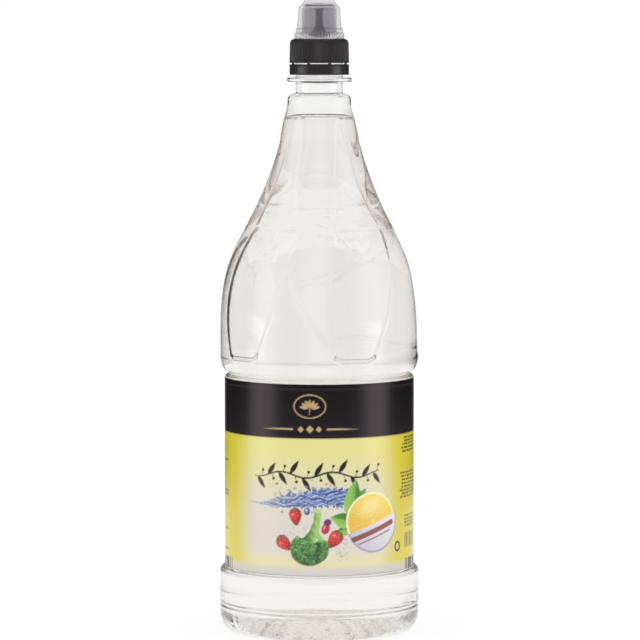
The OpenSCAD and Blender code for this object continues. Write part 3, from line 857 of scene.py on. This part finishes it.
def turned(profile, count):
    """Rings of a turned shape, one for each point of its profile."""
    turn = np.linspace(0, 2 * np.pi, count, endpoint=False)
    r = profile[:, :1] * np.ones(count)
    return np.stack([r * np.cos(turn), r * np.sin(turn), profile[:, 1:] * np.ones(count)], 2)


band_profile = np.array(
    [
        (cap_in_r, band_top_z - 0.2), (cap_in_r, band_z + 0.2), (cap_in_r + 0.2, band_z),
        (cap_r - 0.3, band_z), (cap_r - 0.08, band_z + 0.1), (cap_r, band_z + 0.35),
        (cap_r, band_z + 1.2), (cap_r, band_z + 3), (cap_r, band_top_z - 0.3),
        (cap_r - 0.08, band_top_z - 0.08), (cap_r - 0.25, band_top_z), (cap_in_r + 0.2, band_top_z),
    ]
)
tamper_band = ring_mesh("tamper_ring", turned(band_profile, 128), loop=True)
tamper_band.data.materials.append(black_plastic)
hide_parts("tamper_band")
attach(tamper_band, "root")

# each bridge is three four-cornered levels, narrowest where it breaks, and two end faces
bridge_turn = np.radians(360 / bridge_count * (np.arange(bridge_count) + 0.5))[:, None, None]
bridge_z = np.array([band_top_z - 0.2, band_top_z + 0.35, cap_z + 0.1])[:, None]
half_width = np.array([0.55, 0.38, 0.55])[:, None] * np.array([-1, -1, 1, 1])
bridge_r = np.array([cap_in_r + 0.3, cap_r - 0.3, cap_r - 0.3, cap_in_r + 0.3])
bridge_points = np.stack(
    [
        bridge_r * np.cos(bridge_turn) - half_width * np.sin(bridge_turn),
        bridge_r * np.sin(bridge_turn) + half_width * np.cos(bridge_turn),
        np.broadcast_to(bridge_z, (bridge_count, 3, 4)),
    ],
    3,
).reshape(-1, 3)
n = np.arange(4)
m = (n + 1) % 4
walls = np.stack([n, m, m + 4, n + 4], 1)
bridge_faces = np.concatenate([walls, walls + 4, [(3, 2, 1, 0), (8, 9, 10, 11)]])
bridge_faces = (bridge_faces + 12 * np.arange(bridge_count)[:, None, None]).reshape(-1, 4)
mesh = bpy.data.meshes.new("tamper_bridges")
mesh.from_pydata((bridge_points * MM).tolist(), [], bridge_faces.tolist())
bridges = bpy.data.objects.new("tamper_bridges", mesh)
bpy.context.scene.collection.objects.link(bridges)
bridges.data.materials.append(black_plastic)
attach(bridges, "root")

# ============================================================ the spout
# The sleeve that is pulled up to pour: a thin-walled cup of smoky translucent plastic over
# the black post, whose plug closes the hole in its top.
sleeve_r = spout_high.x / MM
sleeve_in_r = sleeve_r - 1.2
flange_r = sleeve_r + 1.1
hole_r = 2.8
sleeve_profile = joined(
    [(sleeve_in_r, cap_top_z + 0.15), (sleeve_in_r + 0.15, cap_top_z), (flange_r - 0.3, cap_top_z)],
    [(flange_r, cap_top_z + 0.3), (flange_r, cap_top_z + 1.6), (flange_r - 0.3, cap_top_z + 2.0)],
    [(sleeve_r + 0.3, cap_top_z + 2.6), (sleeve_r, cap_top_z + 4), (sleeve_r, cap_top_z + 10)],
    arc((sleeve_r - 2, tip_z - 2), 2, 2, 0, 90, 12),
    [(hole_r + 0.3, tip_z), (hole_r, tip_z - 0.3), (hole_r, tip_z - 1.1)],
    arc((sleeve_in_r - 1, tip_z - 2.2), 1, 1, 90, 0, 8),
    [(sleeve_in_r, cap_top_z + 10), (sleeve_in_r, cap_top_z + 5)],
)
spout = ring_mesh("spout_sleeve", turned(sleeve_profile, 128), loop=True)
smoky_plastic, shader = new_material(
    "smoky_plastic",
    Base_Color=(0.72, 0.69, 0.76, 1),
    Roughness=0.1,
    IOR=1.49,
    Transmission_Weight=0.86,
)
noise_bump(smoky_plastic, shader, 300, 0.4, 0.00003)
spout.data.materials.append(smoky_plastic)
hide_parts("spout")
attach(spout, "root")

# ============================================================ the dust cap
# A clear snap-on overcap: a ribbed foot on the cap's top, a plain band, a slightly tapered
# wall and a domed knob.
dust_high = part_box("dust_cap")[1]
foot_r = dust_high.x / MM
dust_top_z = dust_high.z / MM
dust_wall = 0.9
plain_band_r = 12.0
knob_r = 7.8
knob_h = 2.6
foot_teeth = 54
tooth_d = 0.5
wall_top_z = tip_z - 1.6
above_cap = np.array([0, cap_top_z])
above_wall = np.array([0, wall_top_z])
dust_outside = joined(
    above_cap + [(foot_r - 0.2, 0), (foot_r, 0.2), (foot_r, 1.5), (foot_r, 2.8), (foot_r - 0.2, 3)],
    above_cap + [(plain_band_r + 0.1, 3.05), (plain_band_r, 3.2), (plain_band_r, 5.0)],
    above_cap + [(plain_band_r - 0.15, 5.2), (11.4, 5.25), (11.3, 5.4), (10.95, 10)],
    above_wall + [(10.62, -0.5)],
    above_wall + bezier([(10.5, 0.1), (9.6, 1.6), (7.95, 2.2), (knob_r, 4)], 14),
    arc((0, dust_top_z - knob_h), knob_r, knob_h, 4, 88, 18),
)
dust_inside = sunk(dust_outside[3:], dust_wall)
dust_inside = dust_inside[dust_inside[:, 1] > cap_top_z + 2.2]
dust_inside = joined(above_cap + [(11.35, 0), (11.25, 2.0), (11.1, 2.3)], dust_inside[4:])
foot_turn = np.linspace(0, 2 * np.pi, foot_teeth * 8, endpoint=False)


def dust_rings(profile):
    """Rings of the dust cap. Grooves run up its foot, as a cosine round the outside."""
    r = profile[:, :1] * np.ones(len(foot_turn))
    z = profile[:, 1:] * np.ones(len(foot_turn))
    on_foot = (r > 12.3) * (z < cap_top_z + 2.95)
    r = r - tooth_d * on_foot * (0.5 - 0.5 * np.cos(foot_teeth * foot_turn)) ** 3
    return np.stack([r * np.cos(foot_turn), r * np.sin(foot_turn), z], 2)


dust_cap = ring_mesh("dust_cover", dust_rings(np.concatenate([dust_inside[::-1], dust_outside])))
clear_plastic, shader = new_material(
    "clear_plastic",
    Base_Color=(0.9, 0.885, 0.89, 1),
    Roughness=0.06,
    IOR=1.49,
    Transmission_Weight=1.0,
)
noise_bump(clear_plastic, shader, 200, 0.3, 0.00004)
dust_cap.data.materials.append(clear_plastic)
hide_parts("dust_cap")
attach(dust_cap, "root")

# ============================================================ the stage
# A white table in a white surround. What mirrors in the gloss is dim, as between black
# flags, but for a soft panel at each side, in a low and a high tier. What is seen through
# the walls has faint upright bands of grey, which draw the edges of the clear panels.
floor_r = 0.6
floor_sides = 96
floor_turn = np.linspace(0, 2 * np.pi, floor_sides, endpoint=False)
floor_points = np.stack([floor_r * np.cos(floor_turn), floor_r * np.sin(floor_turn), 0 * floor_turn], 1)
mesh = bpy.data.meshes.new("floor")
mesh.from_pydata(floor_points.tolist(), [], [list(range(floor_sides))])
floor = bpy.data.objects.new("floor", mesh)
bpy.context.scene.collection.objects.link(floor)
white_floor, shader = new_material(
    "white_floor",
    Base_Color=(0.14, 0.14, 0.14, 1),
    Roughness=1.0,
    Specular_IOR_Level=0.0,
    Emission_Color=(1, 1, 1, 1),
    Emission_Strength=0.9,
)
floor.data.materials.append(white_floor)

world = bpy.data.worlds.new("surround")
bpy.context.scene.world = world
world.use_nodes = True
world.cycles.sampling_method = "NONE"
tree = world.node_tree


def sums(operation, *terms):
    """A Math node of the given operation on numbers or other nodes' outputs."""
    node = tree.nodes.new("ShaderNodeMath")
    node.operation = operation
    for slot, term in enumerate(terms):
        if isinstance(term, (int, float)):
            node.inputs[slot].default_value = term
        else:
            tree.links.new(term, node.inputs[slot])
    return node.outputs["Value"]


def ramp(value, *stops):
    """Runs a number through (place, level) pairs, easing from each to the next."""
    node = tree.nodes.new("ShaderNodeValToRGB")
    points = node.color_ramp.elements
    while len(points) < len(stops):
        points.new(0.5)
    for point, (at, level) in zip(points, stops):
        point.position = at
        point.color = (level, level, level, 1)
    node.color_ramp.interpolation = "EASE"
    tree.links.new(value, node.inputs["Fac"])
    return node.outputs["Color"]


place = tree.nodes.new("ShaderNodeTexCoord")
split = tree.nodes.new("ShaderNodeSeparateXYZ")
tree.links.new(place.outputs["Generated"], split.inputs["Vector"])
sideways = sums("ABSOLUTE", split.outputs["X"])
forward = sums("MULTIPLY", split.outputs["Y"], -1.0)
around = sums("DIVIDE", sums("ARCTAN2", sideways, forward), float(np.pi))
seen = tree.nodes.new("ShaderNodeLightPath")
mirrored = sums(
    "MULTIPLY", seen.outputs["Is Reflection Ray"], sums("SUBTRACT", 1.0, seen.outputs["Is Diffuse Ray"])
)
bands = ((0.0, 0.97), (0.14, 0.91), (0.3, 0.98), (0.45, 0.91), (0.62, 0.97), (0.86, 0.86), (1.0, 0.95))
through = ramp(sideways, *bands)
panel_spread = ((0.0, 0.01), (0.25, 0.02), (0.38, 1.0), (0.44, 1.0), (0.56, 0.02), (0.86, 0.02), (1.0, 0.3))
panels_lit = ramp(around, *panel_spread)
height = sums("MULTIPLY", sums("ADD", split.outputs["Z"], 0.15), 4.0)
low_tier = ramp(height, (0.1, 0.1), (0.16, 1.0), (0.23, 1.0), (0.27, 0.25), (1.0, 0.25))
high_tier = ramp(height, (0.44, 0.0), (0.53, 0.9), (0.69, 0.9), (0.84, 0.0))
panels_lit = sums("MULTIPLY", panels_lit, sums("ADD", low_tier, high_tier))
soft = ramp(around, (0.0, 1.0), (0.4, 0.9), (0.7, 0.6), (1.0, 0.6))


def surround(colour, strength):
    """A Background shader of the given colour and strength."""
    node = tree.nodes.new("ShaderNodeBackground")
    node.inputs["Strength"].default_value = strength
    if isinstance(colour, tuple):
        node.inputs["Color"].default_value = colour
    else:
        tree.links.new(colour, node.inputs["Color"])
    return node.outputs["Background"]


def either(switch, first, second):
    """Mixes two shaders: the first where the switch is 0, the second where it is 1."""
    node = tree.nodes.new("ShaderNodeMixShader")
    tree.links.new(switch, node.inputs["Fac"])
    tree.links.new(first, node.inputs[1])
    tree.links.new(second, node.inputs[2])
    return node.outputs["Shader"]


glow = either(seen.outputs["Is Camera Ray"], surround(through, 1.0), surround((1, 1, 1, 1), 1.0))
glow = either(seen.outputs["Is Diffuse Ray"], glow, surround(soft, 1.03))
glow = either(mirrored, glow, surround(panels_lit, 2.0))
tree.links.new(glow, tree.nodes["World Output"].inputs["Surface"])

# light crosses many walls of the bottle before it comes out again
bpy.context.scene.cycles.max_bounces = 40
bpy.context.scene.cycles.transmission_bounces = 40
bpy.context.scene.cycles.glossy_bounces = 24
bpy.context.scene.view_settings.view_transform = "Standard"
